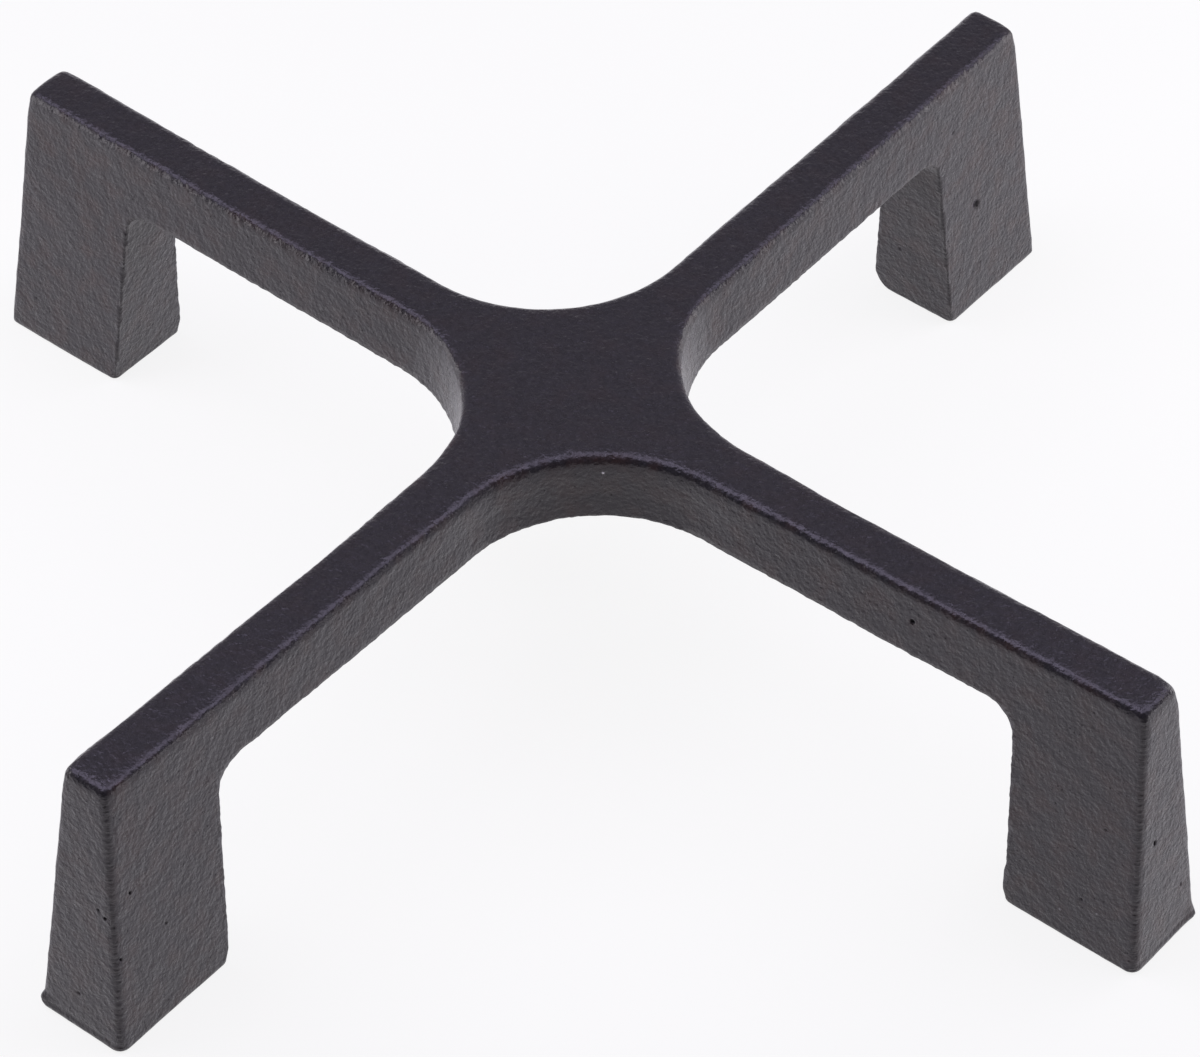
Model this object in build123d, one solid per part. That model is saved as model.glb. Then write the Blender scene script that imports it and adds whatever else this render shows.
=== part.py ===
from build123d import *
from math import hypot, radians, tan
import os

# Hob pan support: one iron casting in the form of a cross. Four slim arms meet in a rounded hub, and
# each arm turns down at its end into a leg that stands on the hob and leaves room for the burner.
# Millimetres, +Z up, arms along X and Y, origin in the middle of the plane that the feet stand on.

# Driving dimensions: widths, spans and radii are those at the pan rest, before the edges are rounded
height = 45.0              # from the foot plane to the tips of the pan rest
top_span = 197.5           # tip to tip across the two arms of a pair
arm_width = 7.7            # across one arm
arm_depth = 10.6           # from the pan rest down to the underside of an arm
hub_radius = 23.5          # hollow round between neighbouring arms
dish_depth = 1.5           # drop of the pan rest from the tips to the middle of the hub
leg_length = 20.8          # along the arm, from a leg's end face to its inner face, under the arm
underside_radius = 4.8     # hollow round between an arm's underside and the inner face of its leg

# Drafts of the mould in degrees: every wall leans outwards going down
side_draft = 4.4           # both sides of the arms and legs, and the walls of the hub
end_draft = 5.6            # end faces of the legs
inner_draft = 4.6          # inner faces of the legs, which face the burner

# Rounded edges
edge_radius = 1.2          # rim of the pan rest and the outer edges of the legs
foot_edge_radius = 0.4     # rims of the feet

# How far the sides and the end faces lean out between the pan rest and the foot plane
side_lean = height * tan(radians(side_draft))
end_lean = height * tan(radians(end_draft))

# Sizes at the foot plane, where the drafted blocks start
foot_width = arm_width + 2 * side_lean
foot_span = top_span + 2 * end_lean
foot_hub_radius = hub_radius - side_lean

# The pan rest and the underside lie on two large balls about one centre, lowest in the middle of the hub
tip_reach = top_span / 2
dish_radius = (tip_reach ** 2 + dish_depth ** 2) / (2 * dish_depth)
dish_center = height - dish_depth + dish_radius
underside_ball_radius = dish_radius + arm_depth

# The inner face of a leg, at the underside of its arm and carried on down to the foot plane
underside_height = height - arm_depth
leg_end_reach = tip_reach + arm_depth * tan(radians(end_draft))
inner_reach = leg_end_reach - leg_length
foot_inner_reach = inner_reach + underside_height * tan(radians(inner_draft))

# The dish cuts the blocks back, so they first stand taller than the tips by the depth of an arm
block_height = height + arm_depth


def reach(shape):
    """Distance of the middle of a face, edge or corner from the vertical axis."""
    middle = shape.center()
    return hypot(middle.X, middle.Y)


def is_upright(edge):
    """True for an edge that climbs more than it runs along."""
    run = edge @ 1 - edge @ 0
    return abs(run.Z) > hypot(run.X, run.Y)


def dish_ball(radius):
    """Ball about the centre of the dish, turned so that its poles and seam lie far from the casting."""
    return Pos(0, 0, dish_center) * Rot(90, 0, 0) * Sphere(radius)


def drafted_cross():
    """Cross of four arms with a rounded hub, widening downwards and longer than the finished arms."""
    overlong = foot_span + 2 * foot_width
    plan = Rectangle(overlong, foot_width) + Rectangle(foot_width, overlong)
    inner_corners = plan.vertices().sort_by(reach)[:4]
    plan = fillet(inner_corners, foot_hub_radius)
    return extrude(plan, block_height, taper=side_draft)


def end_block():
    """Square block whose four leaning sides are the end faces of the legs."""
    return extrude(Rectangle(foot_span, foot_span), block_height, taper=end_draft)


def burner_space():
    """Room under the arms: its leaning sides are the legs' inner faces, its top the arms' underside."""
    foot_square = Rectangle(2 * foot_inner_reach, 2 * foot_inner_reach)
    space = extrude(foot_square, height, taper=inner_draft) - dish_ball(underside_ball_radius)
    underside = space.faces().sort_by(Axis.Z)[-1]
    return fillet(underside.edges(), underside_radius)


def rounded(casting):
    """Round the rim of the pan rest, the outer edges of the legs and the rims of the feet."""
    pan_rest = casting.faces().sort_by(Axis.Z)[-1]
    leg_ends = casting.faces().sort_by(reach)[-4:]
    leg_edges = leg_ends.edges().filter_by(is_upright)
    casting = fillet(pan_rest.edges() + leg_edges, edge_radius)
    feet = casting.faces().sort_by(Axis.Z)[:4]
    return fillet(feet.edges(), foot_edge_radius)


blank = drafted_cross() & end_block()
casting = blank - dish_ball(dish_radius) - burner_space()
pan_support = rounded(casting)

os.makedirs("parts", exist_ok=True)
export_step(pan_support, "parts/pan_support.step")
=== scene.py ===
import math

import bmesh
import bpy
import numpy as np
from mathutils import Matrix, Vector, noise
from mathutils.bvhtree import BVHTree
from mathutils.geometry import intersect_point_line
from mathutils.kdtree import KDTree


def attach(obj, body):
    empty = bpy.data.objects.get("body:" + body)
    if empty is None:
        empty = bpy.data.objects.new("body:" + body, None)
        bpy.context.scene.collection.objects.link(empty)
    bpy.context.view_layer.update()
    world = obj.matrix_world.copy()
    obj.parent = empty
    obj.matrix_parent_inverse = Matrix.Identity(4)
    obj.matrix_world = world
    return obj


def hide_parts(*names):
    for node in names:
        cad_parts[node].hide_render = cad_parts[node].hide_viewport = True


# Look of the hob pan support: one sand-cast iron cross with a matt black coat, on a white floor.
# Metres and degrees, in the frame of the CAD part.

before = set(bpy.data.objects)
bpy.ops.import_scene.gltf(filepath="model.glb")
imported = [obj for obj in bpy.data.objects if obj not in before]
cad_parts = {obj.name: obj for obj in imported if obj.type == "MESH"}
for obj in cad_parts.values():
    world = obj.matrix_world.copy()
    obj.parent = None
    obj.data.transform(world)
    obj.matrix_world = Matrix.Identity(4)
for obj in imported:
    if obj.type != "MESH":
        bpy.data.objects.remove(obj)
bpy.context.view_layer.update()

MM = 0.001

# Keeps a division by a distance from meeting zero
TINY = 1e-9

# Camera, from the fit of the casting's outline to the photograph
PHOTO_WIDTH_PX = 1200
PHOTO_HEIGHT_PX = 1057
FOCAL_LENGTH_PX = 5555.0
SENSOR_WIDTH_MM = 36.0
CAMERA_AZIMUTH = 38.72
CAMERA_ELEVATION = 44.61
CAMERA_ROLL = -0.337
CAMERA_DISTANCE = 787.5 * MM
CAMERA_TARGET = Vector((1.72, 4.21, 12.60)) * MM

# Floor: width, how much of its white is its own, and the colour of the rest, which takes the shadow
FLOOR_SIZE = 6.0
FLOOR_WHITE_SHARE = 0.85
FLOOR_COLOUR = (0.86, 0.84, 0.80, 1)

# Lamps: azimuth from the camera, elevation, distance, width, height, power in watts and colour
WHITE = (1.0, 1.0, 1.0)
SKYLIGHT = (0.79, 0.76, 1.0)
LAMPS = {
    "overhead": (0, 90, 0.60, 0.36, 0.36, 0.75, SKYLIGHT),
    "high_right": (105, 58, 0.64, 0.40, 0.40, 1.30, SKYLIGHT),
    "high_left": (-100, 62, 0.64, 0.40, 0.40, 1.45, SKYLIGHT),
    "right": (70, 8, 0.40, 0.18, 0.10, 0.17, WHITE),
    "behind": (180, 10, 0.42, 0.30, 0.10, 0.06, WHITE),
    "far_left": (-97, 16, 0.26, 0.16, 0.12, 0.17, WHITE),
    "far_right": (110, 16, 0.26, 0.16, 0.12, 0.16, WHITE),
}

# Surroundings: colour, strength where lightest and where darkest, and the ramp between them
WORLD_COLOUR = (0.93, 0.88, 1.0, 1)
WORLD_BRIGHT = 0.31
WORLD_DIM = 0.10
WORLD_BRIGHT_ELEVATION = 45
WORLD_RAMP = (-0.3, 0.9)

# Mesh of the casting: cells of the remesher, and extra cuts at the feet above their flat undersides
WELD_DISTANCE = 0.001 * MM
REMESH_DEPTH = 9
REMESH_SCALE = 0.69
FOOT_CUTS = 1
FOOT_FLAT_HEIGHT = 0.05 * MM

# Upward part of the normal between which a face turns from side to top, and from side to rim
TOP_FACING = (0.80, 0.97)
RIM_FACING = (0.15, 0.50)

# Sand-cast skin: size of its lumps and how far they stand out
WAVE_SIZE = 13.0 * MM
WAVE_DEPTH = 0.10 * MM
PEEL_SIZE = 1.5 * MM
PEEL_DEPTH_SIDE = 0.035 * MM
PEEL_DEPTH_TOP = 0.012 * MM
NOISE_SHIFT = Vector((11.3, 5.7, 8.1))

# Ragged parting edges, under the arms and round the inner faces of the legs, which fade out at the feet
RAGGED_ANGLE = 45.0
RAGGED_SIZE = 0.9 * MM
RAGGED_DEPTH = 0.15 * MM
RAGGED_REACH = 0.9 * MM
RAGGED_FADE = 6.4 * MM

# Arms by number, counted from +X towards +Y
ARM_DIRECTIONS = np.array([(1, 0), (0, 1), (-1, 0), (0, -1)])
NEAR_RIGHT = 0
FAR_RIGHT = 1
FAR_LEFT = 2
NEAR_LEFT = 3

# Distance from the middle beyond which a point belongs to a leg, and how far its normal turns at an edge
LEG_REACH = 70.0 * MM
LEG_EDGE_TURN = (0.4, 1.0)

# Levels between which the leaning walls of the legs are measured, and the depth of each level
WALL_LEVELS = (4.0 * MM, 24.0 * MM)
WALL_BAND = 0.5 * MM

# Feet: height of the finer mesh there, rounds along their rims, how a rim turns to the inner side, and
# rounds of their corners, which grow towards the floor at the inner corners and on the near legs
FOOT_ZONE = 3.2 * MM
FOOT_ROUND = 0.7 * MM
INNER_FOOT_ROUND = 0.5 * MM
INNER_RIM_TURN = (0.2, 0.9)
OUTER_CORNER_ROUND = 1.2 * MM
NEAR_CORNER_GROWTH = 0.5 * MM
INNER_CORNER_GROWTH = 1.2 * MM

# Flash along the bottom of the near leg ends: a thin uneven lip with a groove above it. A slant says how
# much of it is lost from one side of a leg to the middle
LIP_HEIGHT = 0.7 * MM
LIP_PROUD = 0.16 * MM
LIP_HALF_WIDTH = 0.7 * MM
GROOVE_HEIGHT = 1.5 * MM
GROOVE_DEPTH = 0.17 * MM
GROOVE_HALF_WIDTH = 0.5 * MM
LIP_UNEVEN_SIZE = 6.0 * MM
LIP_MEAN = 0.8
LIP_UNEVEN = 0.7
LIP_SLANT_LEFT = 0.2
LIP_SLANT_RIGHT = 0.4
END_FACING = (0.5, 0.9)

# Flash that flares out at single foot corners: arm, side of the arm, how far, height and half of its width.
# The share of it goes along the arm, and as much across it
PROUD_CORNERS = [
    (NEAR_LEFT, -1, 0.60 * MM, 1.5 * MM, 1.3 * MM),
    (NEAR_RIGHT, 1, 0.40 * MM, 1.0 * MM, 2.0 * MM),
]
PROUD_CORNER_SPREAD = 3.5 * MM
PROUD_CORNER_SHARE = 0.7

# Step low on the inner face of the near right leg, and the worn inner corner of the far right foot
STEP_FADE = (4.80 * MM, 7.68 * MM)
STEP_PROUD = 0.45 * MM
STEP_FACING = (0.3, 0.8)
WORN_ROUND = 4.2 * MM
WORN_SPREAD = 8.0 * MM

# Rims of the pan rest that are rounder than the others: tip corners, the ends of the near tips, and the hub.
# Corners: arm, side of the arm, how far the rounding reaches and its passes. The last two values are the
# share of the reach that is lost by the last pass, and the strength of each pass
SOFT_CORNERS = [
    (NEAR_RIGHT, 1, 2.6 * MM, 5),
    (FAR_RIGHT, -1, 3.0 * MM, 8),
    (FAR_LEFT, 1, 2.6 * MM, 5),
    (FAR_LEFT, -1, 2.6 * MM, 4),
]
SOFT_ENDS = (NEAR_LEFT, NEAR_RIGHT)
SOFT_END_REACH = 2.8 * MM
SOFT_END_PASSES = 5
SOFT_HUB_REACH = 34.0 * MM
SOFT_HUB_DEPTH = 5.0 * MM
SOFT_HUB_PASSES = 4
SOFT_REACH_LOSS = 0.5
SOFT_STRENGTH = 0.5

# Near wall of the hub, fuller under the rim: how far, and where it starts and ends
HUB_SWELL = 0.40 * MM
HUB_SWELL_SIDE = (6.0 * MM, 12.0 * MM)
HUB_SWELL_REACH = (22.0 * MM, 45.0 * MM)
HUB_SWELL_HEIGHT = (36.0 * MM, 42.0 * MM)

# Pits that the photograph shows, by its pixels from the upper left: pixel, width, height and depth
PITS = [
    (912, 622, 0.95 * MM, 0.90 * MM, 0.40 * MM),
    (976, 204, 1.80 * MM, 1.90 * MM, 0.35 * MM),
    (130, 893, 0.60 * MM, 0.60 * MM, 0.35 * MM),
    (105, 919, 0.65 * MM, 0.60 * MM, 0.35 * MM),
    (98, 910, 0.60 * MM, 0.50 * MM, 0.25 * MM),
    (121, 960, 0.60 * MM, 0.60 * MM, 0.35 * MM),
    (79, 993, 0.90 * MM, 0.60 * MM, 0.15 * MM),
    (166, 923, 0.60 * MM, 0.60 * MM, 0.15 * MM),
    (1155, 843, 0.60 * MM, 1.10 * MM, 0.40 * MM),
    (1081, 899, 0.80 * MM, 0.60 * MM, 0.14 * MM),
    (1181, 884, 0.50 * MM, 1.20 * MM, 0.18 * MM),
    (1106, 830, 0.80 * MM, 0.60 * MM, 0.12 * MM),
    (953, 133, 0.90 * MM, 0.90 * MM, 0.12 * MM),
    (900, 249, 0.90 * MM, 0.90 * MM, 0.12 * MM),
]
PIT_CUTS = 4
PIT_REACH_SHARE = 0.6
PIT_MARGIN = 0.35 * MM
SPOT_EDGE = (0.2, 1.2)
# Depth at which a pit takes its full painted shade
FULL_SHADE_PIT_DEPTH = 0.30 * MM

# Light grains that the photograph shows in the coat: pixel, width, and how light
GRAINS = [
    (603, 471, 0.50 * MM, 1.0),
    (1060, 909, 0.50 * MM, 0.30),
    (1097, 914, 0.45 * MM, 0.30),
]
GRAIN_PROUD = 0.05 * MM
GRAIN_COLOUR = (0.85, 0.84, 0.82, 1)

# Coat
COAT_COLOUR = (0.0117, 0.0112, 0.0132, 1)
COAT_BROWN = (0.0260, 0.0130, 0.0105, 1)
# Dark of the speckle, which is the coat's own, and painted shade along the leg edges
SPECKLE_AND_EDGE_SHADE = (0.005, 0.004, 0.005, 1)
# Painted shade in the pits and pock marks
PIT_SHADE_COLOUR = (0.002, 0.002, 0.002, 1)
COAT_ROUGHNESS = 0.30
COAT_SPECULAR = 0.46
COAT_SPECULAR_TINT = (1.0, 0.93, 1.0, 1)
COAT_SHEEN = 0.18
COAT_SHEEN_TINT = (1.0, 0.93, 1.0, 1)
COAT_SHEEN_ROUGHNESS = 0.5

# Colour of the coat: brown mottle, dark speckle, painted shade along the leg edges, and painted shade in the
# pits, where metal also takes away their gloss
NOISE_RANGE = (0.3, 0.7)
MOTTLE_SIZE = 3.5 * MM
MOTTLE_DETAIL = 3.0
MOTTLE_RANGE = (0.45, 0.70)
MOTTLE_ON_TOP = 0.25
SPECKLE_SIZE = 0.5 * MM
SPECKLE_DETAIL = 2.0
SPECKLE_SHARE = 0.5
LEG_EDGE_PAINTED_SHADE = 0.6
PIT_SHADE_RANGE = (0.05, 0.60)
PIT_SHADE_METAL = 0.8

# Roughness: patches of it, and how much rougher the leg edges and the pock marks are
ROUGH_SIZE = 0.8 * MM
ROUGH_DETAIL = 2.0
ROUGH_SPREAD = 0.07
LEG_EDGE_ROUGHER = 0.1
POCK_ROUGHER = 0.3

# Small pock marks on the walls, in patches, with painted shade
POCK_SPACING = 1.2 * MM
POCK_RADIUS = 0.21 * MM
POCK_CORE = 0.3
POCK_PATCH_SIZE = 6.0 * MM
POCK_PATCH_DETAIL = 1.0
POCK_PATCH_RANGE = (0.40, 0.60)
POCK_PATCH_LEAST = 0.3

# Fine bumps, each with its size, detail and height: fine grain, sand, orange peel and lumps
BUMPS = [
    (0.32 * MM, 1.0, 0.70),
    (0.60 * MM, 0.0, 0.85),
    (0.90 * MM, 2.0, 1.20),
    (2.20 * MM, 2.0, 1.70),
]
BUMP_DEPTH = 0.10 * MM
BUMP_ON_TOP = 0.85

# Ripples across the leg edges
RIPPLE_SIZE = 0.55 * MM
RIPPLE_DETAIL = 1.0
RIPPLE_STRETCH = 0.25
RIPPLE_HEIGHT = 2.5


def direction(azimuth, elevation):
    """Unit vector towards a place round the casting: azimuth 0 is on -Y and 90 on +X."""
    a = math.radians(azimuth)
    e = math.radians(elevation)
    return Vector((math.sin(a) * math.cos(e), -math.cos(a) * math.cos(e), math.sin(e)))


def add_object(name, data):
    """New object in the scene, at the origin."""
    made = bpy.data.objects.new(name, data)
    bpy.context.scene.collection.objects.link(made)
    return made


def add_node(tree, kind, **settings):
    """New node with its settings."""
    node = tree.nodes.new(kind)
    for name, value in settings.items():
        setattr(node, name, value)
    return node


def put(tree, value, socket):
    """Give a socket a number, or the output of another node."""
    if isinstance(value, bpy.types.NodeSocket):
        tree.links.new(value, socket)
    else:
        socket.default_value = value


def lumps(tree, place, size, detail):
    """Noise between 0 and 1 with lumps of the given size."""
    node = add_node(tree, "ShaderNodeTexNoise")
    tree.links.new(place, node.inputs["Vector"])
    node.inputs["Scale"].default_value = 1 / size
    node.inputs["Detail"].default_value = detail
    return node.outputs["Fac"]


def math_node(tree, operation, first, second):
    """Result of one sum on two sockets or numbers."""
    node = add_node(tree, "ShaderNodeMath", operation=operation)
    put(tree, first, node.inputs[0])
    put(tree, second, node.inputs[1])
    return node.outputs[0]


def remap(tree, value, low, high, to_low, to_high):
    """A number moved from one range to another, and kept inside it."""
    node = add_node(tree, "ShaderNodeMapRange", clamp=True)
    tree.links.new(value, node.inputs["Value"])
    for name, number in (("From Min", low), ("From Max", high), ("To Min", to_low), ("To Max", to_high)):
        put(tree, number, node.inputs[name])
    return node.outputs["Result"]


def mix_colour(tree, share, first, second):
    """Mix of two colours, each a socket or a colour, by the numbers of the node's colour sockets."""
    node = add_node(tree, "ShaderNodeMix", data_type="RGBA")
    put(tree, share, node.inputs["Factor"])
    put(tree, first, node.inputs[6])
    put(tree, second, node.inputs[7])
    return node.outputs[2]


def attribute(tree, name):
    """A number stored on the mesh."""
    return add_node(tree, "ShaderNodeAttribute", attribute_name=name).outputs["Fac"]


def make_camera():
    """Camera at the photograph's place and angle."""
    data = bpy.data.cameras.new("photo_camera")
    data.sensor_width = SENSOR_WIDTH_MM
    data.lens = FOCAL_LENGTH_PX / PHOTO_WIDTH_PX * SENSOR_WIDTH_MM
    camera = add_object("photo_camera", data)
    back = direction(CAMERA_AZIMUTH, CAMERA_ELEVATION)
    upright = (-back).to_track_quat("-Z", "Y").to_matrix()
    rolled = upright @ Matrix.Rotation(-math.radians(CAMERA_ROLL), 3, "Z")
    camera.matrix_world = Matrix.Translation(CAMERA_TARGET + back * CAMERA_DISTANCE) @ rolled.to_4x4()
    bpy.context.scene.camera = camera


def make_floor():
    """White floor under the feet: it shows as near white, and keeps a faint shadow."""
    half = FLOOR_SIZE / 2
    mesh = bpy.data.meshes.new("floor")
    corners = [(-half, -half, 0), (half, -half, 0), (half, half, 0), (-half, half, 0)]
    mesh.from_pydata(corners, [], [(0, 1, 2, 3)])
    floor = add_object("floor", mesh)
    material = bpy.data.materials.new("white_floor")
    material.use_nodes = True
    tree = material.node_tree
    tree.nodes.clear()
    rays = add_node(tree, "ShaderNodeLightPath").outputs
    seen = math_node(tree, "MAXIMUM", rays["Is Camera Ray"], rays["Is Glossy Ray"])
    seen = math_node(tree, "MAXIMUM", seen, rays["Is Transmission Ray"])
    paper = add_node(tree, "ShaderNodeBsdfDiffuse")
    paper.inputs["Color"].default_value = FLOOR_COLOUR
    white = add_node(tree, "ShaderNodeEmission")
    mix = add_node(tree, "ShaderNodeMixShader")
    tree.links.new(math_node(tree, "MULTIPLY", seen, FLOOR_WHITE_SHARE), mix.inputs[0])
    tree.links.new(paper.outputs[0], mix.inputs[1])
    tree.links.new(white.outputs[0], mix.inputs[2])
    out = add_node(tree, "ShaderNodeOutputMaterial")
    tree.links.new(mix.outputs[0], out.inputs["Surface"])
    mesh.materials.append(material)


def soft_lamp(name, azimuth, elevation, distance, width, height, power, colour):
    """Soft lamp at a place round the casting, aimed at its middle and not seen by the camera."""
    data = bpy.data.lights.new(name, "AREA")
    data.shape = "RECTANGLE"
    data.size = width
    data.size_y = height
    data.energy = power
    data.color = colour
    lamp = add_object(name, data)
    towards = direction(CAMERA_AZIMUTH + azimuth, elevation)
    lamp.location = towards * distance
    lamp.rotation_euler = towards.to_track_quat("Z", "Y").to_euler()
    lamp.visible_camera = False


def make_world():
    """Dim surroundings, lightest behind the casting and darkest behind the camera."""
    world = bpy.data.worlds.new("studio")
    world.use_nodes = True
    tree = world.node_tree
    place = add_node(tree, "ShaderNodeTexCoord").outputs["Generated"]
    towards_back = add_node(tree, "ShaderNodeVectorMath", operation="DOT_PRODUCT")
    tree.links.new(place, towards_back.inputs[0])
    towards_back.inputs[1].default_value = direction(CAMERA_AZIMUTH + 180, WORLD_BRIGHT_ELEVATION)
    strength = remap(tree, towards_back.outputs["Value"], *WORLD_RAMP, WORLD_DIM, WORLD_BRIGHT)
    background = tree.nodes["Background"]
    background.inputs["Color"].default_value = WORLD_COLOUR
    tree.links.new(strength, background.inputs["Strength"])
    bpy.context.scene.world = world


def make_light():
    """Soft studio light: three high lamps, four low ones and dim surroundings."""
    make_world()
    for name, settings in LAMPS.items():
        soft_lamp(name, *settings)


def welded_mesh(node):
    """Closed mesh of a CAD node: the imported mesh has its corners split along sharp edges."""
    work = bmesh.new()
    work.from_mesh(node.data)
    bmesh.ops.remove_doubles(work, verts=work.verts, dist=WELD_DISTANCE)
    mesh = bpy.data.meshes.new("welded")
    work.to_mesh(mesh)
    work.free()
    return mesh


def even_mesh(node):
    """Fine mesh of a CAD node with cells of one size, in a bmesh."""
    rough = add_object("rough_casting", welded_mesh(node))
    remesh = rough.modifiers.new("even_mesh", "REMESH")
    remesh.mode = "SHARP"
    remesh.octree_depth = REMESH_DEPTH
    remesh.scale = REMESH_SCALE
    remesh.sharpness = 1.0
    remesh.use_remove_disconnected = False
    evaluated = rough.evaluated_get(bpy.context.evaluated_depsgraph_get())
    work = bmesh.new()
    work.from_mesh(evaluated.data)
    bpy.data.objects.remove(rough)
    return work


def refine(work, wanted, cuts):
    """Divide the faces that a test picks out."""
    edges = {edge for face in work.faces if wanted(face.calc_center_median()) for edge in face.edges}
    bmesh.ops.subdivide_edges(work, edges=list(edges), cuts=cuts, use_grid_fill=True)


def photo_ray(x, y):
    """Direction from the camera through a pixel of the photograph."""
    across = (x - PHOTO_WIDTH_PX / 2) / FOCAL_LENGTH_PX
    up = (PHOTO_HEIGHT_PX / 2 - y) / FOCAL_LENGTH_PX
    return (bpy.context.scene.camera.matrix_world.to_3x3() @ Vector((across, up, -1.0))).normalized()


def photo_places(work, rows):
    """Rows with the pixel at the start of each replaced by the point of the casting that it shows."""
    tree = BVHTree.FromBMesh(work)
    eye = bpy.context.scene.camera.matrix_world.translation
    return [(tree.ray_cast(eye, photo_ray(x, y))[0], *sizes) for x, y, *sizes in rows]


def distance_from(places):
    """Function that gives a point's distance from the nearest of some places."""
    tree = KDTree(len(places))
    for number, place in enumerate(places):
        tree.insert(place, number)
    tree.balance()
    return lambda point: tree.find(point)[2]


def noise_at(points, size, seed):
    """Smooth noise between about -1 and 1 at each point, with lumps of the given size."""
    shift = NOISE_SHIFT * seed
    return np.array([noise.noise(Vector(point) / size + shift) for point in points])


def smooth_step(value, low, high):
    """0 below low, 1 above high and a smooth ramp between them."""
    ramp = np.clip((value - low) / (high - low), 0, 1)
    return ramp * ramp * (3 - 2 * ramp)


def hump(value, middle, half_width):
    """Smooth hump: 1 in the middle, 0 beyond its half width."""
    return 1 - smooth_step(np.abs(value - middle), 0, half_width)


def arm_frame(points):
    """Number of the nearest arm, and each point's reach along it and place across it."""
    quarter = math.pi / 2
    arm = np.round(np.arctan2(points[:, 1], points[:, 0]) / quarter).astype(int) % 4
    along = ARM_DIRECTIONS[arm]
    reach = points[:, 0] * along[:, 0] + points[:, 1] * along[:, 1]
    across = points[:, 1] * along[:, 0] - points[:, 0] * along[:, 1]
    return arm, reach, across


def edge_distance(work, points):
    """Distance of each point from the middle of the nearest sharp edge of the mesh."""
    limit = math.radians(RAGGED_ANGLE)
    sharp = [edge for edge in work.edges if len(edge.link_faces) == 2 and edge.calc_face_angle() > limit]
    distance = distance_from([(edge.verts[0].co + edge.verts[1].co) / 2 for edge in sharp])
    return np.array([distance(point) for point in points])


def skin(work, points, normals):
    """Distance along the normal of the skin's waves and orange peel, and of the ragged parting edges."""
    top = smooth_step(normals[:, 2], *TOP_FACING)
    peel_depth = PEEL_DEPTH_SIDE + (PEEL_DEPTH_TOP - PEEL_DEPTH_SIDE) * top
    ragged = 1 - smooth_step(edge_distance(work, points), 0, RAGGED_REACH)
    ragged *= smooth_step(points[:, 2], 0, RAGGED_FADE)
    lift = WAVE_DEPTH * noise_at(points, WAVE_SIZE, 1)
    lift += peel_depth * noise_at(points, PEEL_SIZE, 2)
    lift += RAGGED_DEPTH * ragged * noise_at(points, RAGGED_SIZE, 3)
    return lift


def round_off(first, second, radius):
    """New depths below the two faces of a square corner, once it has a round of the given radius."""
    away = np.hypot(radius - first, radius - second)
    outside = (first < radius) & (second < radius) & (away > radius)
    pull = np.where(outside, radius / np.maximum(away, TINY), 1)
    return radius - (radius - first) * pull, radius - (radius - second) * pull


def wall_at(height, place, pick):
    """Where a leaning wall of the legs lies at each height, carried on from two level bands."""
    low, high = (pick(place[np.abs(height - level) < WALL_BAND]) for level in WALL_LEVELS)
    lean = (high - low) / (WALL_LEVELS[1] - WALL_LEVELS[0])
    return low + lean * (height - WALL_LEVELS[0])


def wall_depth(lengthwise, across, half_length, half_width, corner_round):
    """Depth below the nearest wall of a block with rounded corners, and the way out to that wall."""
    over_length = np.abs(lengthwise) - half_length + corner_round
    over_width = np.abs(across) - half_width + corner_round
    in_corner = (over_length > 0) & (over_width > 0)
    away = np.maximum(np.hypot(over_length, over_width), TINY)
    nearest = np.maximum(over_length, over_width)
    depth = corner_round - np.where(in_corner, away, nearest)
    length_share = np.where(in_corner, over_length / away, over_length >= over_width)
    width_share = np.where(in_corner, over_width / away, over_length < over_width)
    return depth, length_share * np.sign(lengthwise), width_share * np.sign(across)


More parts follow.
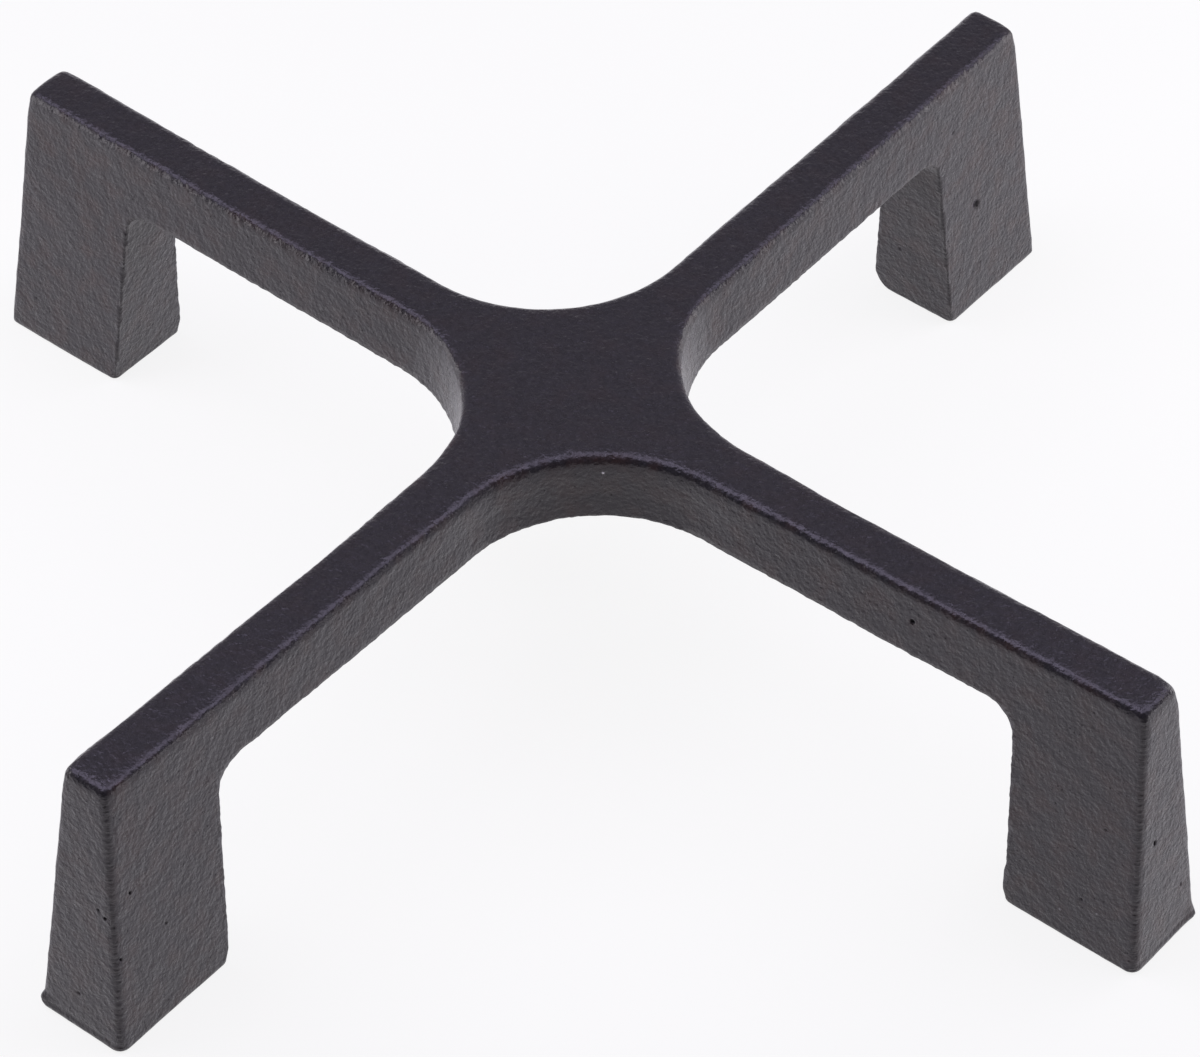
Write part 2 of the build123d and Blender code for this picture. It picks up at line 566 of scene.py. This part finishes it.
def shape_feet(points, normals):
    """Points with the feet as the mould and use left them: rounds, flash, a step and a worn corner."""
    arm, reach, across = arm_frame(points)
    near = (arm == NEAR_LEFT) | (arm == NEAR_RIGHT)
    height = points[:, 2].copy()
    along = np.column_stack((ARM_DIRECTIONS[arm], np.zeros(len(arm))))
    sideways = np.column_stack((-along[:, 1], along[:, 0], np.zeros(len(arm))))
    outward = np.einsum("ij,ij->i", normals, along)
    end_wall = wall_at(height, reach, np.max)
    inner_wall = wall_at(height, reach, np.min)
    side_wall = wall_at(height, np.abs(across), np.max)
    new_reach = reach.copy()
    new_across = across.copy()
    new_height = height.copy()

    # Step low on one inner face, towards the camera's side of the leg
    step = 1 - smooth_step(height, *STEP_FADE)
    step *= smooth_step(-across, 0, side_wall) * (arm == NEAR_RIGHT)
    new_reach -= STEP_PROUD * step * smooth_step(-outward, *STEP_FACING)
    inner_wall -= STEP_PROUD * step

    # Rounds along the rims of the feet
    half_length = (end_wall - inner_wall) / 2
    lengthwise = new_reach - inner_wall - half_length
    low = 1 - smooth_step(height, 0, FOOT_ZONE)
    grows = near.copy()
    for corner_arm, side, *sizes in PROUD_CORNERS:
        grows &= (arm != corner_arm) | (side * across < 0)
    outer_round = OUTER_CORNER_ROUND + NEAR_CORNER_GROWTH * low * grows
    corner_round = np.where(lengthwise > 0, outer_round, INNER_CORNER_GROWTH * low)
    depth, out_reach, out_across = wall_depth(lengthwise, new_across, half_length, side_wall, corner_round)
    rim_round = FOOT_ROUND + (INNER_FOOT_ROUND - FOOT_ROUND) * smooth_step(-out_reach, *INNER_RIM_TURN)
    new_depth, new_height = round_off(depth, new_height, rim_round)
    new_depth = np.where(height < FOOT_ZONE, np.maximum(new_depth, 0), new_depth)
    new_reach -= (new_depth - depth) * out_reach
    new_across -= (new_depth - depth) * out_across

    # Worn inner corner of one foot
    worn, worn_height = round_off(side_wall - new_across, new_height, WORN_ROUND)
    share = (1 - smooth_step(reach - inner_wall, 0, WORN_SPREAD)) * (arm == FAR_RIGHT)
    new_across += (side_wall - worn - new_across) * share
    new_height += (worn_height - new_height) * share

    # Lip and groove along the bottom of the near leg ends
    slant = np.where(arm == NEAR_LEFT, LIP_SLANT_LEFT, LIP_SLANT_RIGHT)
    uneven = LIP_MEAN + LIP_UNEVEN * noise_at(points, LIP_UNEVEN_SIZE, 4)
    uneven *= 1 - slant + slant * across / side_wall
    uneven *= near * smooth_step(outward, *END_FACING)
    lip = LIP_PROUD * hump(height, LIP_HEIGHT, LIP_HALF_WIDTH)
    groove = GROOVE_DEPTH * hump(height, GROOVE_HEIGHT, GROOVE_HALF_WIDTH)
    new_reach += (lip - groove) * uneven

    # Corners where the flash flares out
    for corner_arm, side, proud, level, half_width in PROUD_CORNERS:
        away = np.hypot(reach - end_wall, across - side * side_wall)
        flare = proud * hump(height, level, half_width) * (1 - smooth_step(away, 0, PROUD_CORNER_SPREAD))
        flare *= PROUD_CORNER_SHARE * (arm == corner_arm)
        new_reach += flare
        new_across += side * flare

    move = along * (new_reach - reach)[:, None] + sideways * (new_across - across)[:, None]
    move[:, 2] = new_height - height
    return points + move


def soften(work, distance, reach, passes):
    """Smooth the mesh where a distance is small, over a reach that shrinks with each pass."""
    near = [(vertex, distance(vertex.co)) for vertex in work.verts]
    for number in range(passes):
        limit = reach * (1 - SOFT_REACH_LOSS * number / passes)
        near = [(vertex, away) for vertex, away in near if away < limit]
        bmesh.ops.smooth_vert(
            work, verts=[vertex for vertex, away in near], factor=SOFT_STRENGTH,
            use_axis_x=True, use_axis_y=True, use_axis_z=True)


def tip_corner(work, arm, side):
    """Upper corner of a tip, on one side of its arm and not the like corner of the next arm."""
    along = Vector((*ARM_DIRECTIONS[arm], 0))
    sideways = Vector((-along.y, along.x, 0)) * side
    outwards = 2 * along + sideways + Vector((0, 0, 1))
    return max((vertex.co for vertex in work.verts), key=outwards.dot).copy()


def soften_rims(work):
    """Rounder rims of the pan rest round the hub, at some tip corners and along the ends of the near tips."""
    top = max(vertex.co.z for vertex in work.verts)
    soften(
        work, lambda place: place.xy.length if place.z > top - SOFT_HUB_DEPTH else math.inf,
        SOFT_HUB_REACH, SOFT_HUB_PASSES)
    for arm in SOFT_ENDS:
        left, right = (tip_corner(work, arm, side) for side in (-1, 1))
        soften(
            work, lambda place: (place - intersect_point_line(place, left, right)[0]).length,
            SOFT_END_REACH, SOFT_END_PASSES)
    corners = [tip_corner(work, arm, side) for arm, side, *rounding in SOFT_CORNERS]
    for corner, (arm, side, reach, passes) in zip(corners, SOFT_CORNERS):
        soften(work, distance_from([corner]), reach, passes)


def hub_swell(points, normals):
    """Sideways move that makes the near wall of the hub fuller under the rim of the pan rest."""
    near_side = (points[:, 0] - points[:, 1]) / math.sqrt(2)
    share = smooth_step(near_side, *HUB_SWELL_SIDE)
    share *= 1 - smooth_step(np.hypot(points[:, 0], points[:, 1]), *HUB_SWELL_REACH)
    share *= smooth_step(points[:, 2], *HUB_SWELL_HEIGHT)
    return HUB_SWELL * share[:, None] * normals[:, :2]


def spot(points, middle, width, height):
    """1 in the middle of a round spot on the skin and 0 outside it."""
    away = (points - np.array(middle)) / np.array((width / 2, width / 2, height / 2))
    return 1 - smooth_step(np.linalg.norm(away, axis=1), *SPOT_EDGE)


def pits_and_grains(points, pits, grains):
    """Distance along the normal at pits and grains, the painted shade of the pits and how light the grains
    make each point.
    """
    lift = np.zeros(len(points))
    painted_shade = np.zeros(len(points))
    light = np.zeros(len(points))
    for middle, width, height, depth in pits:
        share = spot(points, middle, width, height)
        lift -= depth * share
        # Deeper pits take more painted shade
        painted_shade += min(depth / FULL_SHADE_PIT_DEPTH, 1) * share
    for middle, width, lightness in grains:
        share = spot(points, middle, width, width)
        lift += GRAIN_PROUD * share
        light += lightness * share
    return lift, painted_shade, light


def add_attribute(mesh, name, values):
    """One number for each point of a mesh, for its material."""
    attribute = mesh.attributes.new(name, "FLOAT", "POINT")
    attribute.data.foreach_set("value", np.asarray(values, dtype=np.float32))


def make_casting():
    """The casting with the skin, flash and pits of the real one."""
    work = even_mesh(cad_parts["pan_support"])
    soften_rims(work)
    refine(work, lambda middle: FOOT_FLAT_HEIGHT < middle.z < FOOT_ZONE, FOOT_CUTS)
    pits = photo_places(work, PITS)
    grains = photo_places(work, GRAINS)
    for place, *sizes in pits + grains:
        reach = PIT_REACH_SHARE * max(sizes[:-1]) + PIT_MARGIN
        refine(work, lambda middle: (middle - place).length < reach, PIT_CUTS)
    work.normal_update()
    work.verts.ensure_lookup_table()
    points = np.array([vertex.co for vertex in work.verts])
    normals = np.array([vertex.normal for vertex in work.verts])
    pit_lift, painted_shade, light = pits_and_grains(points, pits, grains)
    lift = skin(work, points, normals) + pit_lift
    moved = shape_feet(points, normals) + normals * lift[:, None]
    moved[:, :2] += hub_swell(points, normals)
    moved[:, 2] = np.maximum(moved[:, 2], 0)
    for vertex, place in zip(work.verts, moved):
        vertex.co = place
    mesh = bpy.data.meshes.new("pan_support_casting")
    work.to_mesh(mesh)
    work.free()
    for polygon in mesh.polygons:
        polygon.use_smooth = True
    arm, reach, across = arm_frame(points)
    along = ARM_DIRECTIONS[arm]
    outward = normals[:, 0] * along[:, 0] + normals[:, 1] * along[:, 1]
    sideways = normals[:, 1] * along[:, 0] - normals[:, 0] * along[:, 1]
    # Outer edges of the legs, which carry painted shade, more roughness and ripples
    corner = smooth_step(np.abs(2 * outward * sideways), *LEG_EDGE_TURN) * (reach > LEG_REACH)
    add_attribute(mesh, "pit_shade", painted_shade)
    add_attribute(mesh, "grain", light)
    add_attribute(mesh, "leg_edge", corner)
    add_attribute(mesh, "top", smooth_step(normals[:, 2], *TOP_FACING))
    add_attribute(mesh, "side", 1 - smooth_step(normals[:, 2], *RIM_FACING))
    casting = add_object("pan_support_casting", mesh)
    mesh.materials.append(coat_material())
    return casting


def pock_marks(tree, place):
    """Small round marks at random places: 1 in the middle of each and 0 outside."""
    node = add_node(tree, "ShaderNodeTexVoronoi", feature="F1")
    tree.links.new(place, node.inputs["Vector"])
    node.inputs["Scale"].default_value = 1 / POCK_SPACING
    edge = POCK_RADIUS / POCK_SPACING
    return remap(tree, node.outputs["Distance"], POCK_CORE * edge, edge, 1.0, 0.0)


def ripples(tree, place):
    """Noise drawn out sideways, for the short ripples across the leg edges."""
    node = add_node(tree, "ShaderNodeMapping")
    tree.links.new(place, node.inputs["Vector"])
    node.inputs["Scale"].default_value = (RIPPLE_STRETCH, RIPPLE_STRETCH, 1.0)
    return lumps(tree, node.outputs["Vector"], RIPPLE_SIZE, RIPPLE_DETAIL)


def coat_material():
    """Matt black coat on sand-cast iron: fine grain, faint brown mottle, rippled leg edges with painted
    shade, and painted shade in the pits and pock marks.
    """
    material = bpy.data.materials.new("black_coat")
    material.use_nodes = True
    tree = material.node_tree
    shader = tree.nodes["Principled BSDF"]
    place = add_node(tree, "ShaderNodeTexCoord").outputs["Object"]
    top = attribute(tree, "top")
    pit_shade = attribute(tree, "pit_shade")
    leg_edge = attribute(tree, "leg_edge")
    side = attribute(tree, "side")
    patches = lumps(tree, place, POCK_PATCH_SIZE, POCK_PATCH_DETAIL)
    patches = remap(tree, patches, *POCK_PATCH_RANGE, POCK_PATCH_LEAST, 1.0)
    pocks = math_node(tree, "MULTIPLY", math_node(tree, "MULTIPLY", pock_marks(tree, place), side), patches)

    mottle = remap(tree, lumps(tree, place, MOTTLE_SIZE, MOTTLE_DETAIL), *MOTTLE_RANGE, 0.0, 1.0)
    mottle = math_node(tree, "MULTIPLY", mottle, remap(tree, top, 0.0, 1.0, 1.0, MOTTLE_ON_TOP))
    colour = mix_colour(tree, mottle, COAT_COLOUR, COAT_BROWN)
    speckle = remap(tree, lumps(tree, place, SPECKLE_SIZE, SPECKLE_DETAIL), *NOISE_RANGE, 0.0, SPECKLE_SHARE)
    colour = mix_colour(tree, speckle, colour, SPECKLE_AND_EDGE_SHADE)
    # Painted shade along the outer edges of the legs
    colour = mix_colour(tree, math_node(tree, "MULTIPLY", leg_edge, LEG_EDGE_PAINTED_SHADE), colour, SPECKLE_AND_EDGE_SHADE)
    # Painted shade in the pock marks and the pits
    colour = mix_colour(tree, pocks, colour, PIT_SHADE_COLOUR)
    pit_shade_share = remap(tree, pit_shade, *PIT_SHADE_RANGE, 0.0, 1.0)
    colour = mix_colour(tree, pit_shade_share, colour, PIT_SHADE_COLOUR)
    colour = mix_colour(tree, attribute(tree, "grain"), colour, GRAIN_COLOUR)
    tree.links.new(colour, shader.inputs["Base Color"])
    # Metal takes the gloss out of the painted shade in the pits and pock marks
    painted_shade = math_node(tree, "MAXIMUM", pit_shade_share, pocks)
    tree.links.new(math_node(tree, "MULTIPLY", painted_shade, PIT_SHADE_METAL), shader.inputs["Metallic"])

    smoothest = COAT_ROUGHNESS - ROUGH_SPREAD
    roughest = COAT_ROUGHNESS + ROUGH_SPREAD
    rough = remap(tree, lumps(tree, place, ROUGH_SIZE, ROUGH_DETAIL), *NOISE_RANGE, smoothest, roughest)
    rough = math_node(tree, "ADD", rough, math_node(tree, "MULTIPLY", leg_edge, LEG_EDGE_ROUGHER))
    rough = math_node(tree, "ADD", rough, math_node(tree, "MULTIPLY", pocks, POCK_ROUGHER))
    tree.links.new(rough, shader.inputs["Roughness"])
    shader.inputs["Specular IOR Level"].default_value = COAT_SPECULAR
    shader.inputs["Specular Tint"].default_value = COAT_SPECULAR_TINT
    shader.inputs["Sheen Weight"].default_value = COAT_SHEEN
    shader.inputs["Sheen Tint"].default_value = COAT_SHEEN_TINT
    shader.inputs["Sheen Roughness"].default_value = COAT_SHEEN_ROUGHNESS

    grain = 0.0
    for size, detail, height in BUMPS:
        layer = math_node(tree, "MULTIPLY", lumps(tree, place, size, detail), height)
        grain = math_node(tree, "ADD", layer, grain)
    grain = math_node(tree, "MULTIPLY", grain, remap(tree, side, 0.0, 1.0, BUMP_ON_TOP, 1.0))
    ripple = math_node(tree, "MULTIPLY", ripples(tree, place), leg_edge)
    relief = math_node(tree, "ADD", grain, math_node(tree, "MULTIPLY", ripple, RIPPLE_HEIGHT))
    bump = add_node(tree, "ShaderNodeBump")
    bump.inputs["Strength"].default_value = 1.0
    bump.inputs["Distance"].default_value = BUMP_DEPTH
    tree.links.new(relief, bump.inputs["Height"])
    tree.links.new(bump.outputs["Normal"], shader.inputs["Normal"])
    return material


bpy.context.scene.view_settings.view_transform = "Standard"
make_camera()
make_floor()
make_light()
casting = make_casting()
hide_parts("pan_support")
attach(casting, "root")
